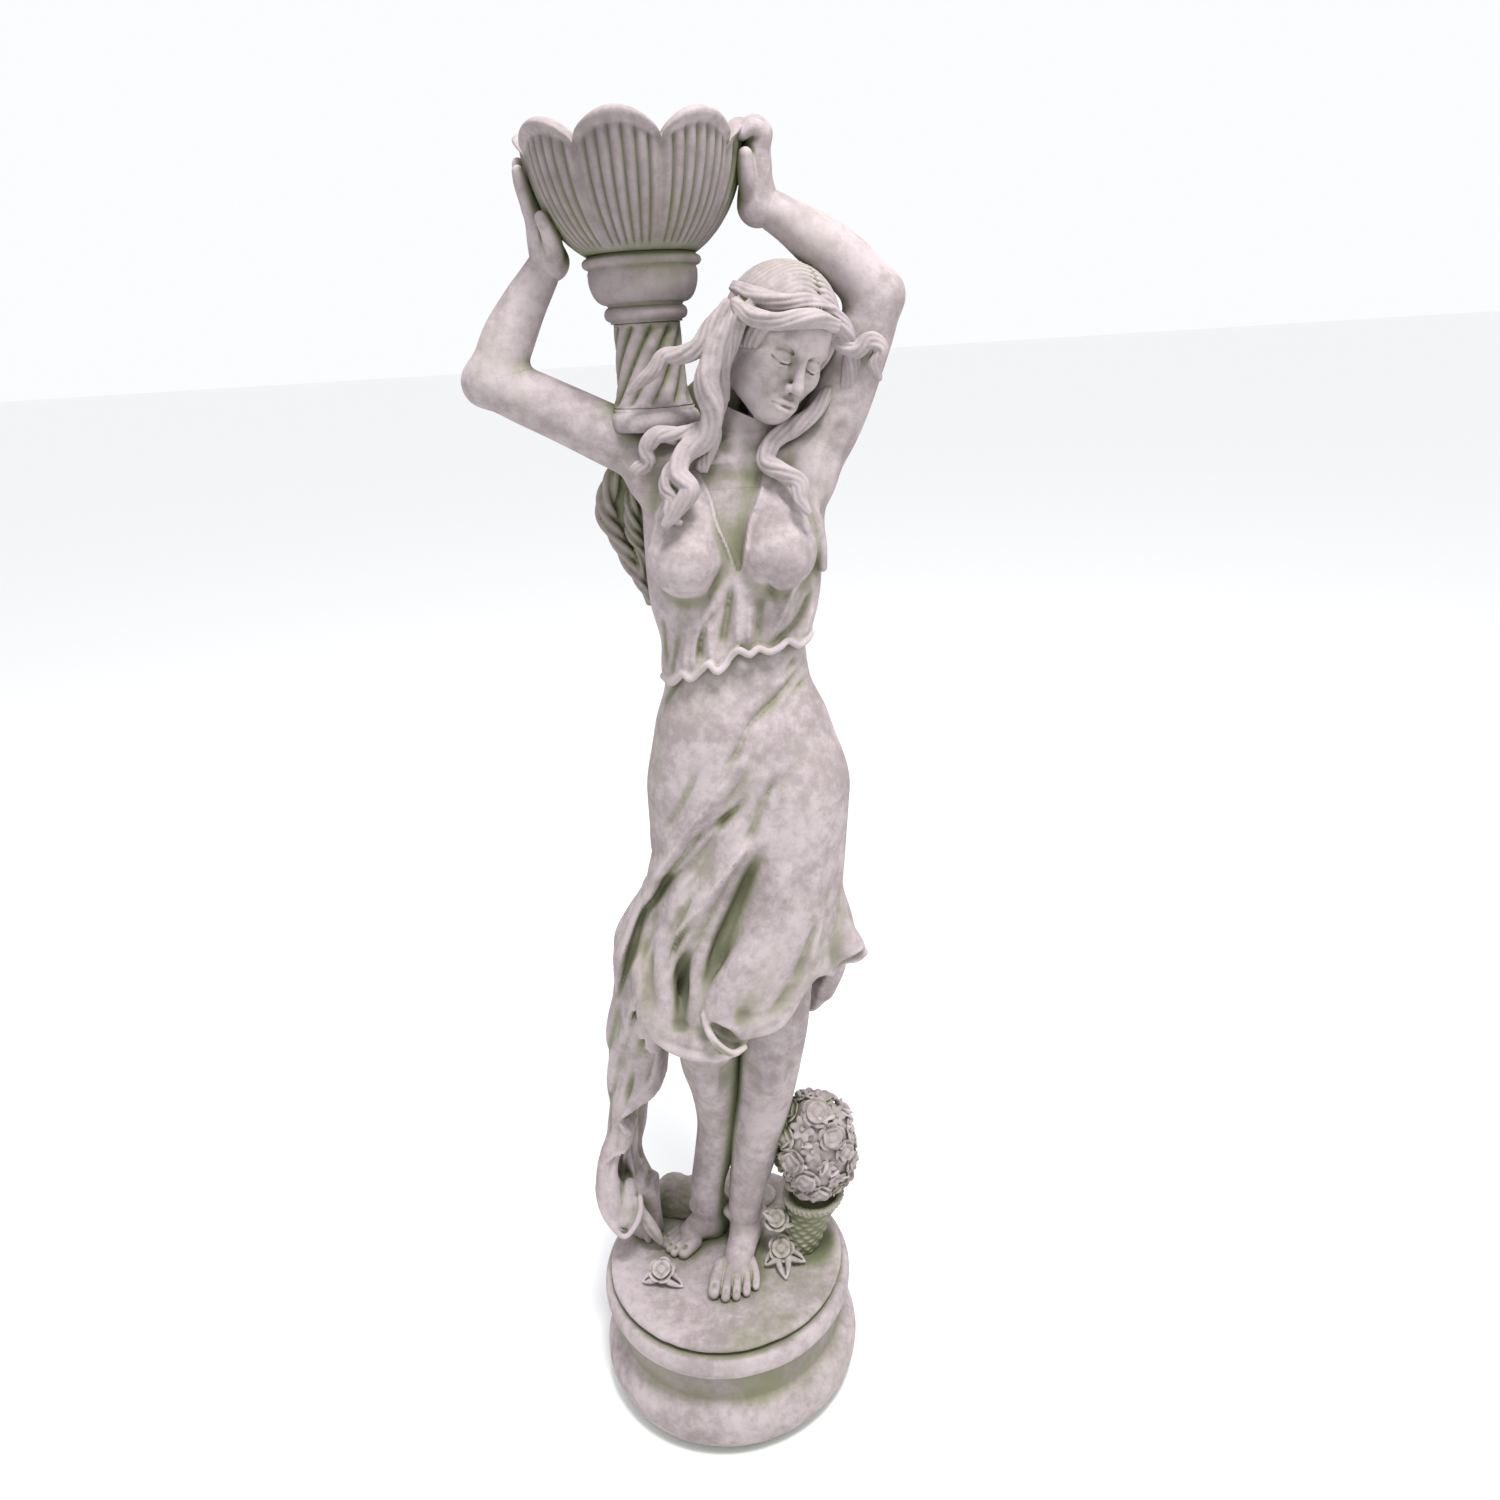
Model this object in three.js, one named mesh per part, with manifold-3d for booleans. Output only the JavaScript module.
// Garden font in cast stone: a draped woman carries a scalloped bowl on a fluted column.
// Units are millimetres and +Z is up. The origin is the middle of the plinth's underside.
// She faces -Y, and her right side is at -X.

import * as THREE from "three";
import { mergeVertices } from "three/addons/utils/BufferGeometryUtils.js";
import Module from "manifold-3d";

const wasm = await Module();
wasm.setup();

// Joints between castings
const JOINT = 0.4; // gap left between two castings that bed on each other
const BORE_PLAY = 0.5; // radial room round a reinforcing rod

// Plinth, bed and base plate
const PLINTH_RADIUS = 172; // widest part of the foot bead
const PLINTH_FOOT_HEIGHT = 78;
const PLINTH_FOOT_BULGE = 32; // how far the foot bead swells out from its own ring
const PLINTH_WAIST_RADIUS = 151;
const PLINTH_LIP_RADIUS = 166;
const PLINTH_HEIGHT = 158;
const BED_THICKNESS = 3;
const PLATE_RADIUS = 155;
const PLATE_THICKNESS = 11;
const SPIGOT_RADIUS = 60;
const SPIGOT_DEPTH = 30;

// Figure
const FIGURE_HEIGHT = 1213; // from the base plate to the crown of the head
const DRAWN_HEIGHT = 1213; // the height that the body's stations below are written for
const LEG_ROD_RADIUS = 5;
const SPINE_ROD_RADIUS = 6;
const PIN_RADIUS = 4;

// Column
const COLUMN_FOOT_RADIUS = 46;
const COLUMN_FOOT_HEIGHT = 22;
const SHAFT_RADIUS = 34;
const SHAFT_HEIGHT = 77;
const SHAFT_FLUTES = 12;
const SHAFT_TWIST = 0.9; // turn of the flutes from foot to capital, in radians
const CAPITAL_HEIGHT = 60;
const COLLAR_RADIUS = 57;
const COLUMN_ROD_RADIUS = 5;

// Bowl
const BOWL_RADIUS = 108;
const BOWL_HEIGHT = 107;
const BOWL_WALL = 12;
const BOWL_FLOOR = 24;
const BOWL_LOBES = 8;
const SCALLOP_DROP = 21; // how far the rim dips between two lobes
const LOBE_TURN = THREE.MathUtils.degToRad(-94); // where the front lobe points

// Flowers
const BASKET_HEIGHT = 85;
const BASKET_FOOT_RADIUS = 26;
const BASKET_RIM_RADIUS = 38;
const BOUQUET_HALF = [53, 44, 84];
const ROSE_RADIUS = 16;

// Heights that follow from the sizes above
const BED_BASE = PLINTH_HEIGHT + JOINT;
const PLATE_BASE = BED_BASE + BED_THICKNESS + JOINT;
const PLATE_TOP = PLATE_BASE + PLATE_THICKNESS;
const BODY = FIGURE_HEIGHT / DRAWN_HEIGHT;
const COLUMN_X = -2 * BODY;
const COLUMN_BASE = PLATE_TOP + 1067.5 * BODY;
const SHAFT_BASE = COLUMN_BASE + COLUMN_FOOT_HEIGHT + JOINT;
const CAPITAL_BASE = SHAFT_BASE + SHAFT_HEIGHT + JOINT;
const BOWL_BASE = CAPITAL_BASE + CAPITAL_HEIGHT + JOINT;

const STONE = { color: 0xb4a6a4, roughness: 0.92, metalness: 0 };
const STONE_LIGHT = { color: 0xc3b6b6, roughness: 0.9, metalness: 0 };
const STONE_GREEN = { color: 0x9da084, roughness: 0.95, metalness: 0 };
const MORTAR = { color: 0x8f8a80, roughness: 0.98, metalness: 0 };
const STEEL = { color: 0x7c7f82, roughness: 0.5, metalness: 1 };

const group = new THREE.Group();
group.name = "garden_font";

// ---------------------------------------------------------------- solids

/** Turns a closed geometry into a solid, with its faces outward. */
function solidOf(geometry) {
  geometry.deleteAttribute("normal");
  geometry.deleteAttribute("uv");
  const merged = mergeVertices(geometry, 1e-3);
  const vertices = new Float32Array(merged.attributes.position.array);
  const corners = [];
  let volume = 0;
  for (let i = 0; i < merged.index.count; i += 3) {
    const [a, b, c] = [0, 1, 2].map((k) => merged.index.getX(i + k));
    if (a === b || b === c || c === a) continue;
    corners.push(a, b, c);
    const [p, q, r] = [a, b, c].map((k) => new THREE.Vector3().fromArray(vertices, 3 * k));
    volume += p.dot(q.cross(r));
  }
  const triangles = new Uint32Array(volume < 0 ? corners.reverse() : corners);
  return new wasm.Manifold(new wasm.Mesh({ numProp: 3, vertProperties: vertices, triVerts: triangles }));
}

/** Moves every vertex of a geometry to the place that `rule` gives for it. */
function shaped(geometry, rule) {
  const places = geometry.attributes.position;
  for (let i = 0; i < places.count; i += 1) {
    const place = rule(new THREE.Vector3().fromBufferAttribute(places, i));
    places.setXYZ(i, place.x, place.y, place.z);
  }
  return geometry;
}

const joined = (first, ...others) => others.reduce((whole, other) => whole.add(other), first);
const without = (first, ...cutters) => cutters.reduce((left, cutter) => left.subtract(cutter), first);

/** Adds a named piece to the font. */
function piece(name, solid, finish) {
  const made = solid.getMesh();
  const geometry = new THREE.BufferGeometry();
  geometry.setAttribute("position", new THREE.BufferAttribute(new Float32Array(made.vertProperties), 3));
  geometry.setIndex(new THREE.BufferAttribute(new Uint32Array(made.triVerts), 1));
  const mesh = new THREE.Mesh(geometry, new THREE.MeshStandardMaterial(finish));
  mesh.name = name;
  group.add(mesh);
}

/** Axes of a section: level ones lie flat, the others stand square to the path. */
function sectionAxes(path, t, level) {
  if (level) {
    return [new THREE.Vector3(1, 0, 0), new THREE.Vector3(0, 1, 0), new THREE.Vector3(0, 0, 1)];
  }
  const along = path.getTangent(t);
  const ahead = new THREE.Vector3(0, 1, 0).addScaledVector(along, -along.y).normalize();
  return [new THREE.Vector3().crossVectors(ahead, along), ahead, along];
}

/**
 * Solid through oval stations [x, y, z, halfWidth, halfDepth], given from bottom to top.
 * `grow` makes it that much larger all round, for a cut that fits it.
 */
function loft(stations, { sides = 14, steps = 10, grow = 0, level = true, swell, lift } = {}) {
  const path = new THREE.CatmullRomCurve3(
    stations.map(([x, y, z]) => new THREE.Vector3(x, y, z)), false, "catmullrom");
  const girth = new THREE.CatmullRomCurve3(
    stations.map(([, , , wide, deep]) => new THREE.Vector3(wide, deep, 0)), false, "catmullrom");
  const tube = new THREE.CylinderGeometry(1, 1, 1, sides, steps);
  return solidOf(shaped(tube, (point) => {
    const t = THREE.MathUtils.clamp(point.y + 0.5, 0, 1);
    const half = girth.getPoint(t);
    const angle = Math.atan2(-point.z, point.x);
    const factor = swell ? swell(angle, t) : 1;
    const [side, ahead, along] = sectionAxes(path, t, level);
    const end = t < 1e-6 ? -grow : t > 1 - 1e-6 ? grow : 0;
    const raise = lift ? lift(angle, t) : 0;
    return path.getPoint(t)
      .addScaledVector(side, point.x * (half.x * factor + grow))
      .addScaledVector(ahead, -point.z * (half.y * factor + grow))
      .addScaledVector(along, end + raise);
  }));
}

/** Ball with its own half sizes, turned by `turn` (a THREE.Euler). */
function ball([x, y, z], half, { grow = 0, turn = new THREE.Euler(), across = 14, down = 10 } = {}) {
  const sphere = new THREE.SphereGeometry(1, across, down);
  sphere.rotateX(Math.PI / 2);
  sphere.scale(half[0] + grow, half[1] + grow, half[2] + grow);
  sphere.applyMatrix4(new THREE.Matrix4().makeRotationFromEuler(turn));
  sphere.translate(x, y, z);
  return solidOf(sphere);
}

/** Solid of revolution about a vertical axis; `profile` holds [radius, height] pairs. */
function turned(profile, { x = 0, y = 0, base = 0, segments = 40, rule } = {}) {
  const lathe = new THREE.LatheGeometry(profile.map(([r, z]) => new THREE.Vector2(r, z)), segments);
  lathe.rotateX(Math.PI / 2);
  if (rule) shaped(lathe, rule);
  lathe.translate(x, y, base);
  return solidOf(lathe);
}

/** Straight round bar between two points, lengthened by `reach` at each end for a bore. */
function bar(from, to, radius, { grow = 0, reach = [0, 0] } = {}) {
  const [start, end] = [from, to].map((place) => new THREE.Vector3(...place));
  const along = end.clone().sub(start).normalize();
  start.addScaledVector(along, -reach[0]);
  end.addScaledVector(along, reach[1]);
  const size = radius + grow;
  return loft([[...start, size, size], [...end, size, size]], { sides: 10, steps: 1, level: false });
}

/** Body stations or points are written for DRAWN_HEIGHT, with heights above the base plate. */
const onBody = ([x, y, height, ...halves]) =>
  [x * BODY, y * BODY, PLATE_TOP + height * BODY, ...halves.map((half) => half * BODY)];

// ---------------------------------------------------------------- base

/** Points on a round moulding from one angle to another. */
function bead(radius, height, bulge, half, from, to, count) {
  return Array.from({ length: count + 1 }, (_, i) => {
    const angle = THREE.MathUtils.lerp(from, to, i / count);
    return [radius + bulge * Math.cos(angle), height + half * Math.sin(angle)];
  });
}

/** Half outline of the plinth: a round foot bead that tucks in under itself, a waist and a lip. */
function plinthProfile() {
  const lipHalf = 16;
  const lipBulge = 8;
  const quarter = Math.PI / 2;
  const ring = PLINTH_RADIUS - PLINTH_FOOT_BULGE;
  const foot = PLINTH_FOOT_HEIGHT / 2;
  const lip = PLINTH_LIP_RADIUS - lipBulge;
  return [
    [0, 0],
    ...bead(ring, foot, PLINTH_FOOT_BULGE, foot, -quarter, 0.68 * quarter, 7),
    [PLINTH_WAIST_RADIUS + 1, PLINTH_FOOT_HEIGHT + 2],
    [PLINTH_WAIST_RADIUS, PLINTH_FOOT_HEIGHT + 20],
    [PLINTH_WAIST_RADIUS + 1, PLINTH_HEIGHT - 2 * lipHalf - 8],
    ...bead(lip, PLINTH_HEIGHT - lipHalf, lipBulge, lipHalf, -quarter, quarter, 3),
    [SPIGOT_RADIUS + 1, PLINTH_HEIGHT],
    [SPIGOT_RADIUS + 1, PLINTH_HEIGHT - SPIGOT_DEPTH - JOINT],
    [0, PLINTH_HEIGHT - SPIGOT_DEPTH - JOINT],
  ];
}

const LEFT_LEG_ROD = [[26, 11, -20], [106, 0, 640]].map(onBody);
const RIGHT_LEG_ROD = [[-21, 30, -20], [22, -2, 640]].map(onBody);

function buildBase() {
  piece("plinth", turned(plinthProfile(), { segments: 32 }), STONE);
  const bedEdge = PLATE_RADIUS - 8;
  piece("mortar_bed", turned([
    [SPIGOT_RADIUS + 3, 0],
    [bedEdge, 0],
    [bedEdge, BED_THICKNESS],
    [SPIGOT_RADIUS + 3, BED_THICKNESS],
    [SPIGOT_RADIUS + 3, 0],
  ], { base: BED_BASE, segments: 24 }), MORTAR);
  const plate = turned([
    [0, PLINTH_HEIGHT - SPIGOT_DEPTH - PLATE_BASE],
    [SPIGOT_RADIUS, PLINTH_HEIGHT - SPIGOT_DEPTH - PLATE_BASE],
    [SPIGOT_RADIUS, 0],
    [PLATE_RADIUS - 4, 0],
    [PLATE_RADIUS, 3],
    [PLATE_RADIUS - 1, PLATE_THICKNESS - 3],
    [PLATE_RADIUS - 6, PLATE_THICKNESS],
    [0, PLATE_THICKNESS],
  ], { base: PLATE_BASE, segments: 32 });
  piece("base_plate", without(plate, legRodBore("left"), legRodBore("right")), STONE);
}

// ---------------------------------------------------------------- legs

const LEG_STATIONS = {
  left: [
    [28, 12, JOINT, 21, 24], [29, 10, 53, 22.5, 25], [34, 8, 92, 24, 25], [44, 8, 140, 28, 32],
    [57, 6, 200, 34, 38], [66, 2, 250, 35, 38], [74, -12, 303, 38, 38], [82, -14, 360, 42, 44],
    [90, -8, 430, 42, 50], [98, 0, 500, 42, 52], [102, 4, 560, 40, 50],
  ],
  right: [
    [-21, 32, JOINT, 21, 24], [-21, 30, 53, 22.5, 25], [-18, 28, 92, 23, 26], [-6, 30, 140, 27, 31],
    [4, 30, 190, 30, 36], [4, 22, 245, 32, 37], [0, 0, 303, 36, 38], [2, -8, 360, 40, 44],
    [5, -4, 430, 41, 50], [10, 0, 500, 41, 52], [14, 4, 560, 40, 50],
  ],
};
const FOOT_STATIONS = {
  left: [
    [31, 40, 15, 12, 13], [30, 28, 18, 20, 17], [25, -4, 20, 24, 19], [19, -30, 15, 27, 14],
    [11, -58, 11.5, 30, 10.5], [5, -78, 9, 28, 8], [1, -88, 7, 20, 6],
  ],
  right: [
    [2, 46, 15, 11, 12], [-10, 40, 18, 19, 17], [-34, 28, 19, 23, 18], [-52, 18, 14, 25, 13],
    [-66, 9, 11, 25, 10], [-76, 3, 7, 17, 6],
  ],
};

/** One leg with its foot, from the base plate up into the skirt. */
function leg(side, grow = 0) {
  const limb = loft(LEG_STATIONS[side].map(onBody), { sides: 10, steps: 10, grow });
  const foot = loft(FOOT_STATIONS[side].map(onBody).reverse(),
    { sides: 8, steps: 6, grow, level: false });
  return joined(limb, foot);
}

function legRodBore(side) {
  return bore(side === "left" ? LEFT_LEG_ROD : RIGHT_LEG_ROD, LEG_ROD_RADIUS);
}

/** Everything below the soles, with the joint left above the base plate. */
function ground(reach = 400) {
  const slab = new THREE.BoxGeometry(reach, reach, reach);
  slab.translate(0, 0, PLATE_TOP + JOINT - reach / 2);
  return solidOf(slab);
}

function buildLegs() {
  piece("left_leg", without(leg("left"), ground(), legRodBore("left")), STONE_LIGHT);
  const rightLeg = without(leg("right"), ground(), leg("left", JOINT), legRodBore("right"));
  piece("right_leg", rightLeg, STONE_LIGHT);
  piece("left_leg_rod", bar(LEFT_LEG_ROD[0], LEFT_LEG_ROD[1], LEG_ROD_RADIUS), STEEL);
  piece("right_leg_rod", bar(RIGHT_LEG_ROD[0], RIGHT_LEG_ROD[1], LEG_ROD_RADIUS), STEEL);
}

// ---------------------------------------------------------------- dress and body

const SKIRT_STATIONS = [
  [52, 8, 430, 130, 78], [50, 8, 466, 138, 80], [52, 6, 500, 124, 82], [58, 4, 560, 112, 85],
  [64, 4, 612, 107, 88], [66, 4, 700, 106, 84], [66, 2, 760, 95, 70], [64, 0, 813, 80, 58],
];
const TRAIN_STATIONS = [
  [-105, 44, JOINT, 20, 24], [-112, 46, 45, 26, 30], [-128, 46, 110, 34, 34], [-122, 46, 165, 28, 38],
  [-112, 46, 225, 30, 44], [-88, 44, 285, 48, 50], [-66, 36, 350, 56, 56], [-50, 30, 420, 60, 60],
  [-40, 26, 470, 60, 60],
];
const BODICE_STATIONS = [
  [64, 0, 813 + JOINT, 80, 58], [65, -2, 850, 82, 60], [67, -4, 894, 93, 64],
  [70, -4, 950, 98, 66], [72, -1, 1010, 97, 60],
];
const SHOULDER_STATIONS = [
  [72, -1, 1010 + JOINT, 97, 60], [75, 3, 1035, 100, 50], [80, 4, 1055, 84, 38],
  [86, 0, 1070, 46, 34], [92, -5, 1085, 32, 31], [100, -10, 1108, 29, 29],
];
const SPINE_ROD = [[66, 4, 665], [101, -10, 1130]].map(onBody);
const RIGHT_ARM_PIN = [[40, 18, 1021], [-105, 16, 1083]].map(onBody);
const LEFT_ARM_PIN = [[118, 5, 1018], [207, 3, 1142]].map(onBody);

/** Bore for a bar, a little wider and longer than the bar. */
const bore = ([from, to], radius) => bar(from, to, radius, { grow: BORE_PLAY, reach: [1, 1] });
const spineBore = () => bore(SPINE_ROD, SPINE_ROD_RADIUS);
const pinBore = (pin) => bore(pin, PIN_RADIUS);

/** The skirt is one swept fold pattern, and its hem hangs lowest at the front on her right. */
function skirt(grow = 0) {
  const lowest = THREE.MathUtils.degToRad(-110);
  const hemSwing = 36 * BODY;
  return loft(SKIRT_STATIONS.map(onBody), {
    sides: 21,
    steps: 8,
    grow,
    swell: (angle, t) => 1 + 0.03 * (1 - t) * Math.cos(7 * angle + 4 * t),
    lift: (angle, t) => -hemSwing * (1 - t) ** 6 * Math.cos(angle - lowest),
  });
}

function train(grow = 0) {
  return loft(TRAIN_STATIONS.map(onBody), {
    sides: 12,
    steps: 9,
    grow,
    swell: (angle, t) => 1 + 0.08 * Math.cos(3 * angle + 9 * t),
  });
}

function bodice(grow = 0) {
  const bust = [[18, -43, 955], [116, -43, 958]].map(onBody);
  const half = [36, 34, 37].map((size) => size * BODY);
  const waistToNeck = loft(BODICE_STATIONS.map(onBody), { sides: 16, steps: 6, grow });
  return joined(waistToNeck, ...bust.map((place) => ball(place, half, { grow, across: 12, down: 8 })));
}

const shoulders = (grow = 0) => loft(SHOULDER_STATIONS.map(onBody), { sides: 16, steps: 8, grow });

function buildBody() {
  const bores = [legRodBore("left"), legRodBore("right"), spineBore()];
  piece("skirt", without(skirt(), leg("left", JOINT), leg("right", JOINT), ...bores), STONE);
  const trainCut = without(train(), leg("left", JOINT), leg("right", JOINT), skirt(JOINT));
  piece("skirt_train", trainCut, STONE);
  piece("bodice", without(bodice(), spineBore()), STONE_LIGHT);
  piece("shoulders", without(shoulders(), bodice(JOINT), columnFoot(JOINT), spineBore(), columnBore(),
    pinBore(RIGHT_ARM_PIN), pinBore(LEFT_ARM_PIN)), STONE_LIGHT);
  piece("spine_rod", bar(SPINE_ROD[0], SPINE_ROD[1], SPINE_ROD_RADIUS), STEEL);
  piece("right_arm_pin", bar(RIGHT_ARM_PIN[0], RIGHT_ARM_PIN[1], PIN_RADIUS), STEEL);
  piece("left_arm_pin", bar(LEFT_ARM_PIN[0], LEFT_ARM_PIN[1], PIN_RADIUS), STEEL);
}

// ---------------------------------------------------------------- head and hair

const HEAD_CENTRE = onBody([124, -16, 1142]);
const HEAD_HALF = [49, 59, 72].map((half) => half * BODY);
const HEAD_TURN = new THREE.Euler(...[17, 17, 27].map(THREE.MathUtils.degToRad), "ZYX");
const HAIR_THICKNESS = 11 * BODY;

/** A plain head: an egg that narrows to the chin. */
const head = (grow = 0) => ball(HEAD_CENTRE, HEAD_HALF, { grow, turn: HEAD_TURN, across: 13, down: 9 });

/** A block in the head's own turned frame; `low` and `high` are its corners from the head's centre. */
function headBlock(low, high) {
  const size = high.map((value, i) => (value - low[i]) * BODY);
  const block = new THREE.BoxGeometry(...size);
  block.translate(...low.map((value, i) => value * BODY + size[i] / 2));
  block.applyMatrix4(new THREE.Matrix4().makeRotationFromEuler(HEAD_TURN));
  block.translate(...HEAD_CENTRE);
  return solidOf(block);
}

function hairCap(grow = 0) {
  const half = HEAD_HALF.map((size) => size + HAIR_THICKNESS);
  const shell = ball(HEAD_CENTRE, half, { grow, turn: HEAD_TURN, across: 13, down: 9 });
  const face = headBlock([-43 + grow, -120, -120], [43 - grow, -8 - grow, 34 - grow]);
  return without(shell, face);
}

/** A lock of hair along points [x, y, height, halfWidth]. */
function lock(points, grow = 0) {
  const stations = points.map(([x, y, height, half]) => [x, y, height, half, half * 0.85]);
  const steps = Math.round(1.5 * points.length);
  return loft(stations.map(onBody).reverse(), { sides: 6, steps, grow, level: false });
}

const RIGHT_LOCKS = [
  [[84, -52, 1165, 12], [62, -64, 1130, 13], [50, -68, 1092, 13], [44, -62, 1062, 12],
    [30, -66, 1040, 11], [36, -72, 1016, 10], [28, -76, 992, 5]],
  [[72, -58, 1150, 11], [46, -58, 1146, 11], [20, -56, 1132, 9], [4, -54, 1112, 8], [-18, -50, 1100, 4]],
  [[46, -62, 1070, 10], [14, -58, 1058, 9], [-6, -52, 1048, 8], [-17, -46, 1034, 4]],
];
const LEFT_LOCK = [
  [168, -36, 1132, 11], [150, -44, 1092, 12], [118, -52, 1056, 12], [126, -62, 1030, 11],
  [142, -68, 1006, 9], [144, -72, 980, 4],
];
const OUTER_CURL = [
  [168, -34, 1172, 10], [192, -36, 1152, 10], [213, -36, 1158, 9], [222, -34, 1140, 8], [214, -32, 1108, 4],
];
const BACK_HAIR_STATIONS = [
  [30, 54, 880, 68, 16], [30, 58, 940, 84, 22], [28, 58, 990, 94, 24], [40, 54, 1040, 88, 26],
  [72, 40, 1085, 64, 32], [112, 26, 1130, 50, 36], [124, 18, 1165, 40, 36],
];

const backHair = (grow = 0) => loft(BACK_HAIR_STATIONS.map(onBody), { sides: 12, steps: 7, grow });

function buildHead() {
  const body = [shoulders(JOINT), bodice(JOINT)];
  const column = [columnFoot(JOINT), shaft(JOINT), capital(JOINT)];
  piece("head", without(head(), shoulders(JOINT), spineBore()), STONE_LIGHT);
  piece("hair_cap", without(hairCap(), head(JOINT), ...body, leftUpperArm(JOINT)), STONE);
  const capAndHead = [hairCap(JOINT), head(JOINT)];
  const right = joined(...RIGHT_LOCKS.map((points) => lock(points)));
  piece("right_locks", without(right, ...capAndHead, ...body, ...column), STONE);
  const leftLock = without(lock(LEFT_LOCK), ...capAndHead, ...body, leftUpperArm(JOINT));
  piece("left_lock", leftLock, STONE);
  const curl = without(lock(OUTER_CURL), ...capAndHead, leftUpperArm(JOINT), lock(LEFT_LOCK, JOINT));
  piece("outer_curl", curl, STONE);
  piece("back_hair", without(backHair(), ...capAndHead, ...body, leftUpperArm(JOINT),
    rightUpperArm(JOINT), lock(LEFT_LOCK, JOINT), lock(OUTER_CURL, JOINT), ...column), STONE_GREEN);
}

// ---------------------------------------------------------------- arms and hands

const RIGHT_UPPER_ARM = [
  [10, 6, 1036, 26, 26], [-40, 5, 1062, 30, 30], [-90, 4, 1088, 28, 29], [-138, 3, 1112, 28, 28],
  [-162, 2, 1122, 26, 27], [-180, 2, 1128, 14, 18],
];
const LEFT_UPPER_ARM = [
  [138, 6, 1012, 28, 28], [165, 5, 1060, 32, 33], [195, 3, 1120, 29, 30], [216, 2, 1160, 28, 28],
  [224, 1, 1184, 25, 26], [227, 1, 1200, 12, 14],
];

/** Wrists and hands follow the bowl that they hold. */
const RIGHT_WRIST = [COLUMN_X - BOWL_RADIUS + 20, 8, BOWL_BASE - 6];
const LEFT_WRIST = [COLUMN_X + BOWL_RADIUS + 5, -5, BOWL_BASE + 0.34 * BOWL_HEIGHT];

function limb(stations, grow) {
  return loft(stations, { sides: 10, steps: 7, grow, level: false });
}

const rightUpperArm = (grow = 0) => limb(RIGHT_UPPER_ARM.map(onBody).reverse(), grow);
const leftUpperArm = (grow = 0) => limb(LEFT_UPPER_ARM.map(onBody), grow);

/** Forearm from a point inside the elbow to the wrist, fullest below the elbow. */
function forearm(elbow, wrist, bulge, grow = 0) {
  const sizes = [[0, 18], [0.22, 26], [0.5, 24], [0.8, 18], [1, 15.5]];
  const stations = sizes.map(([t, half]) => {
    const place = elbow.map((value, i) => THREE.MathUtils.lerp(value, wrist[i], t));
    place[2] += bulge * Math.sin(Math.PI * t);
    return [...place, half * BODY, half * 1.05 * BODY];
  });
  return limb(stations, grow);
}

const RIGHT_ELBOW = onBody([-156, 2, 1124]);
const LEFT_ELBOW = onBody([219, 1, 1174]);
const rightForearm = (grow = 0) => forearm(RIGHT_ELBOW, RIGHT_WRIST, 2, grow);
const leftForearm = (grow = 0) => forearm(LEFT_ELBOW, LEFT_WRIST, 5, grow);

/** A flat hand from the wrist up along the bowl; offsets are from the wrist. */
function hand(wrist, offsets, grow = 0) {
  const stations = offsets.map(([x, y, z, wide, deep]) =>
    [wrist[0] + x, wrist[1] + y, wrist[2] + z, wide * BODY, deep * BODY]);
  return loft(stations, { sides: 8, steps: 7, grow, level: false });
}

const RIGHT_HAND = [
  [2, 0, -10, 11, 12], [-9, -1, 18, 12, 20], [-19, -2, 42, 11, 24], [-27, -3, 62, 9, 24],
  [-29, -3, 80, 7, 20], [-28, -3, 92, 4, 13],
];
const LEFT_HAND = [
  [-2, 0, -6, 14, 16], [3, -1, 18, 13, 21], [8, -2, 42, 12, 25], [6, -3, 60, 12, 23],
  [-6, -4, 68, 10, 20], [-16, -4, 66, 5, 14],
];

function buildArms() {
  const bowlCut = bowlOutside(JOINT);
  const column = [columnFoot(JOINT), shaft(JOINT), columnBore()];
  piece("right_upper_arm", without(rightUpperArm(), shoulders(JOINT), bodice(JOINT), ...column,
    pinBore(RIGHT_ARM_PIN)), STONE_LIGHT);
  piece("left_upper_arm", without(leftUpperArm(), shoulders(JOINT), bodice(JOINT), head(JOINT),
    pinBore(LEFT_ARM_PIN)), STONE_LIGHT);
  piece("right_forearm", without(rightForearm(), rightUpperArm(JOINT), bowlCut), STONE_LIGHT);
  const overHead = without(leftForearm(), leftUpperArm(JOINT), hairCap(JOINT), bowlCut);
  piece("left_forearm", overHead, STONE_LIGHT);
  piece("right_hand", without(hand(RIGHT_WRIST, RIGHT_HAND), rightForearm(JOINT), bowlCut,
    capital(JOINT)), STONE_LIGHT);
  piece("left_hand", without(hand(LEFT_WRIST, LEFT_HAND), leftForearm(JOINT), bowlCut), STONE_LIGHT);
}

// ---------------------------------------------------------------- column and bowl

/** Turned part of the column; `grow` makes it that much larger all round, for a cut that fits it. */
function onColumn(profile, base, grow) {
  const top = profile[profile.length - 1][1];
  const grown = profile.map(([r, z]) => {
    const out = r === 0 ? 0 : r + grow;
    const shift = { [0]: -grow, [top]: grow }[z] ?? 0;
    return [out, z + shift];
  });
  return turned(grown, { x: COLUMN_X, base, segments: 20 });
}

function columnFoot(grow = 0) {
  const r = COLUMN_FOOT_RADIUS;
  const h = COLUMN_FOOT_HEIGHT;
  return onColumn([[0, 0], [r - 6, 0], [r - 1, 0.2 * h], [r, 0.45 * h], [r - 2, 0.75 * h],
    [r - 5, h], [0, h]], COLUMN_BASE, grow);
}

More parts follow.
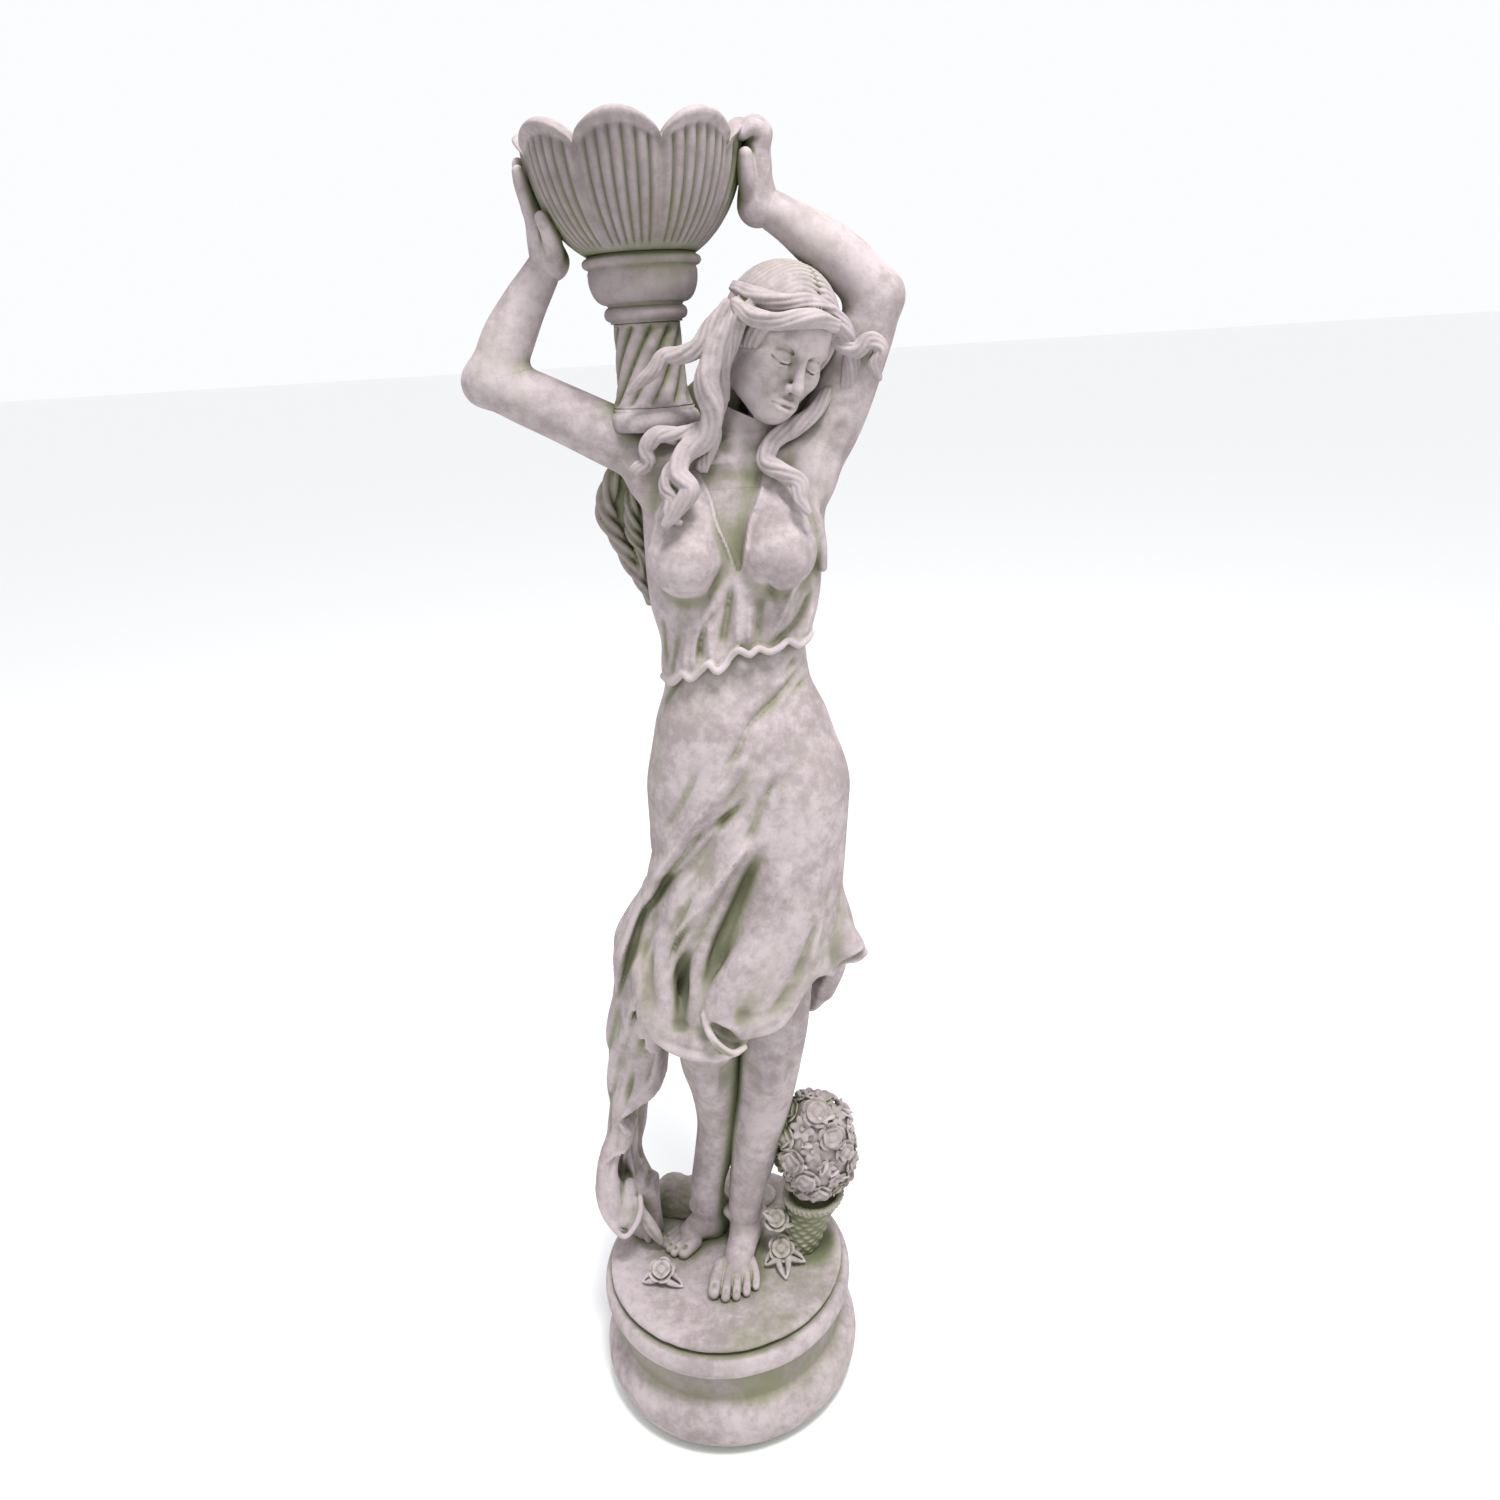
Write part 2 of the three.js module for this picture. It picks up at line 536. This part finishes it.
function shaft(grow = 0) {
  const radii = [1.2, 1.04, 1, 0.97];
  const stations = radii.map((share, i) => {
    const z = SHAFT_BASE + SHAFT_HEIGHT * i / (radii.length - 1);
    return [COLUMN_X, 0, z, share * SHAFT_RADIUS, share * SHAFT_RADIUS];
  });
  const flute = (angle, t) => 1 - 0.035 * (1 + Math.cos(SHAFT_FLUTES * (angle - SHAFT_TWIST * t)));
  return loft(stations, { sides: 2 * SHAFT_FLUTES, steps: 5, grow, swell: flute });
}

function capital(grow = 0) {
  const r = SHAFT_RADIUS;
  const h = CAPITAL_HEIGHT;
  const c = COLLAR_RADIUS;
  return onColumn([[0, 0], [r, 0], [r + 5, 0.08 * h], [r + 6, 0.18 * h], [r + 3, 0.27 * h],
    [r + 4, 0.33 * h], [c - 9, 0.5 * h], [c - 4, 0.68 * h], [c - 4, 0.78 * h], [c, 0.84 * h],
    [c, 0.93 * h], [c - 3, h], [0, h]], CAPITAL_BASE, grow);
}

/** Outer bowl profile from the collar to the rim: the upper part of an ellipse. */
function bowlCurve(inset, floor, count) {
  const start = THREE.MathUtils.degToRad(24);
  return Array.from({ length: count + 1 }, (_, i) => {
    const angle = THREE.MathUtils.lerp(start, Math.PI / 2, i / count);
    const out = (1 - Math.sin(angle)) / (1 - Math.sin(start));
    const up = (Math.cos(start) - Math.cos(angle)) / Math.cos(start);
    const foot = COLLAR_RADIUS - 3 - inset;
    const rim = BOWL_RADIUS - inset;
    return [rim - (rim - foot) * out, floor + (BOWL_HEIGHT - 8 - floor) * up];
  });
}

/** Rim dips and wall pinches between the lobes, more so towards the rim. */
function scallop(point) {
  const angle = Math.atan2(point.y, point.x) - LOBE_TURN;
  const lobe = Math.abs(Math.cos(BOWL_LOBES * angle / 2)) ** 0.8;
  const up = THREE.MathUtils.clamp(point.z / BOWL_HEIGHT, 0, 1);
  const wide = Math.hypot(point.x, point.y) > COLLAR_RADIUS / 2 ? 1 : 0;
  const factor = 1 - 0.05 * up * (1 - lobe) * wide;
  return new THREE.Vector3(point.x * factor, point.y * factor,
    point.z - SCALLOP_DROP * (1 - lobe) * up ** 5 * wide);
}

function bowl() {
  const outer = bowlCurve(0, 0, 5);
  const inner = bowlCurve(BOWL_WALL, BOWL_FLOOR, 4).reverse();
  const rim = [[BOWL_RADIUS, BOWL_HEIGHT - 3], [BOWL_RADIUS - BOWL_WALL / 2, BOWL_HEIGHT],
    [BOWL_RADIUS - BOWL_WALL, BOWL_HEIGHT - 3]];
  return turned([[0, 0], ...outer, ...rim, ...inner, [0, BOWL_FLOOR]],
    { x: COLUMN_X, base: BOWL_BASE, segments: 5 * BOWL_LOBES, rule: scallop });
}

/** The bowl as a filled shape, a little larger, to cut the hands by. */
function bowlOutside(grow) {
  const outer = bowlCurve(-grow, 0, 5);
  return turned([[0, -grow], ...outer, [BOWL_RADIUS + grow, BOWL_HEIGHT - 3],
    [BOWL_RADIUS - BOWL_WALL / 2, BOWL_HEIGHT + grow], [0, BOWL_HEIGHT + grow]],
  { x: COLUMN_X, base: BOWL_BASE, segments: 5 * BOWL_LOBES, rule: scallop });
}

const COLUMN_ROD = [[COLUMN_X, 0, COLUMN_BASE - 46 * BODY], [COLUMN_X, 0, BOWL_BASE + BOWL_FLOOR - 10]];
const columnBore = () => bore(COLUMN_ROD, COLUMN_ROD_RADIUS);

function buildColumn() {
  piece("column_foot", without(columnFoot(), columnBore()), STONE);
  piece("column_shaft", without(shaft(), columnBore()), STONE);
  piece("column_capital", without(capital(), columnBore()), STONE);
  piece("bowl", without(bowl(), columnBore()), STONE);
  piece("column_rod", bar(COLUMN_ROD[0], COLUMN_ROD[1], COLUMN_ROD_RADIUS), STEEL);
}

// ---------------------------------------------------------------- flowers and ground

const BASKET_LEAN = 24; // how far the rim stands to her left of the foot
const BOUQUET_SHIFT = BASKET_LEAN + 4;
const CALF_SIDE = 74 * BODY; // outside of her left calf, where the bouquet leans on it
const BASKET_FOOT = [CALF_SIDE + BOUQUET_HALF[0] - BOUQUET_SHIFT, 4 * BODY, PLATE_TOP + JOINT];

function basket(grow = 0) {
  const [x, y, z] = BASKET_FOOT;
  const shares = [0, 0.5, 1];
  return loft(shares.map((share) => {
    const radius = THREE.MathUtils.lerp(BASKET_FOOT_RADIUS, BASKET_RIM_RADIUS, share);
    return [x + BASKET_LEAN * share, y, z + BASKET_HEIGHT * share, radius, radius];
  }), { sides: 16, steps: 3, grow });
}

function bouquet(grow = 0) {
  const [x, y, z] = BASKET_FOOT;
  const middle = [x + BOUQUET_SHIFT, y - 2, z + BASKET_HEIGHT + BOUQUET_HALF[2] - 12];
  return ball(middle, BOUQUET_HALF, { grow, across: 12, down: 9 });
}

/** A rose with its leaves, lying on the base plate or against the basket. */
function rose(place, leaves, grow = 0) {
  const r = ROSE_RADIUS;
  const bloom = ball(place, [r, r, 0.8 * r], { grow, across: 8, down: 6 });
  const fronds = leaves.map((tip) => {
    const middle = place.map((value, i) => (value + tip[i]) / 2);
    const stem = [...place, 0.3 * r, 0.2 * r];
    const blade = [...middle, 0.7 * r, 0.25 * r];
    const point = [...tip, 0.12 * r, 0.12 * r];
    return loft([stem, blade, point], { sides: 6, steps: 3, grow, level: false });
  });
  return joined(bloom, ...fronds);
}

function mound(grow = 0) {
  const stations = [
    [-22, 92, JOINT, 98, 40], [-26, 92, 18, 84, 36], [-58, 93, 34, 44, 27], [-72, 94, 46, 16, 12],
  ];
  return loft(stations.map(onBody), {
    sides: 15,
    steps: 5,
    grow,
    swell: (angle, t) => 1 + 0.05 * Math.cos(5 * angle + 7 * t),
  });
}

function buildGround() {
  const legs = [leg("left", JOINT), leg("right", JOINT)];
  const low = 0.64 * ROSE_RADIUS;
  const [basketX, basketY] = BASKET_FOOT;
  const basketSide = basketX - BASKET_FOOT_RADIUS;
  const upperRose = rose([basketSide - 3, basketY - 18, PLATE_TOP + 58], []);
  const lowerPlace = [basketSide + 1, basketY - 28, PLATE_TOP + low + 8];
  const lowerTips = [
    [basketSide - 1, basketY - 62, PLATE_TOP + 6],
    [basketX + 9, basketY - 42, PLATE_TOP + 12],
  ];
  const loosePlace = [-84, -45, PLATE_TOP + low];
  const looseTips = [[-60, -62, PLATE_TOP + 5], [-108, -50, PLATE_TOP + 5]];
  piece("basket", without(basket(), ...legs), STONE_GREEN);
  piece("bouquet", without(bouquet(), basket(JOINT), ...legs), STONE_LIGHT);
  const around = [basket(JOINT), bouquet(JOINT), ...legs];
  piece("rose_lower", without(rose(lowerPlace, lowerTips), ground(), ...around), STONE_GREEN);
  piece("rose_upper", without(upperRose, rose(lowerPlace, lowerTips, JOINT), ...around), STONE_GREEN);
  piece("rose_loose", without(rose(loosePlace, looseTips), ground()), STONE_LIGHT);
  piece("ground_mound", without(mound(), ...legs, train(JOINT), basket(JOINT)), STONE_GREEN);
}

buildBase();
buildLegs();
buildBody();
buildHead();
buildArms();
buildColumn();
buildGround();

export default group;
